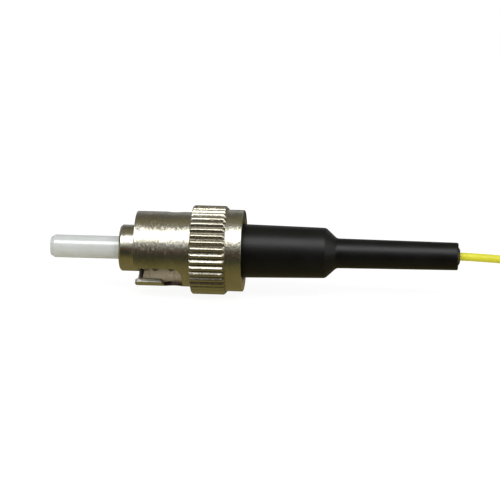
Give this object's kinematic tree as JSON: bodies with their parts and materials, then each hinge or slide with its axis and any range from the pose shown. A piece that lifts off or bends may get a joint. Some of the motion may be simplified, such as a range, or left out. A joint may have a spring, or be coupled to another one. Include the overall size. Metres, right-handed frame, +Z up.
{
  "type": "bayonet fibre connector",
  "caption": "Optical fibre connector with a ceramic ferrule, spring-loaded bayonet coupling nut and moulded boot, on a buffered fibre wound into a tied hank.",
  "frame": {"origin": "middle of the connector's length and width without its fibre, at the level of the surface it lies on", "axes": "X along the connector, ferrule towards -X and boot towards +X; +Z up, away from the surface"},
  "size_m": [0.0758, 0.0163, 0.0097],
  "materials": {
    "zirconia": "polished white zirconia ceramic, slightly translucent",
    "silica": "clear silica fibre",
    "nickel_plate": "turned brass, nickel plated",
    "nut_nickel": "turned and milled, warm nickel plate with fine tool grain",
    "dark_steel": "dark pressed-in pin",
    "spring_steel": "drawn stainless spring wire",
    "washer_steel": "stamped stainless washers",
    "tube_black": "extruded black plastic tube",
    "boot_rubber": "satin black moulded elastomer",
    "buffer_yellow": "yellow tight buffer with a soft sheen",
    "band_clear": "thin pale plastic wrap"
  },
  "bodies": {
    "connector": {"ferrule": "zirconia", "glass_fibre": "silica", "barrel": "nickel_plate", "key_pin": "dark_steel", "spring": "spring_steel", "rear_washer": "washer_steel", "retaining_ring": "spring_steel", "crimp_sleeve": "nickel_plate", "guide_tube": "tube_black", "boot": "boot_rubber", "buffered_fibre": "buffer_yellow", "fibre_lead": "buffer_yellow", "fibre_hank": "buffer_yellow", "hank_band": "band_clear"},
    "washer": {"thrust_washer": "washer_steel"},
    "nut": {"coupling_nut": "nut_nickel"}
  },
  "joints": [
    {"name": "nut_push", "type": "slide", "parent": "connector", "child": "washer", "axis": [-1, 0, 0], "range_m": [0, 0.002], "stiffness_N_per_m": 3000, "springref_m": -0.0008, "deforming": ["spring"]},
    {"name": "nut_turn", "type": "hinge", "parent": "washer", "child": "nut", "pos_m": [-0.00485, 0, 0.00485], "axis": [-1, 0, 0], "continuous": true}
  ]
}
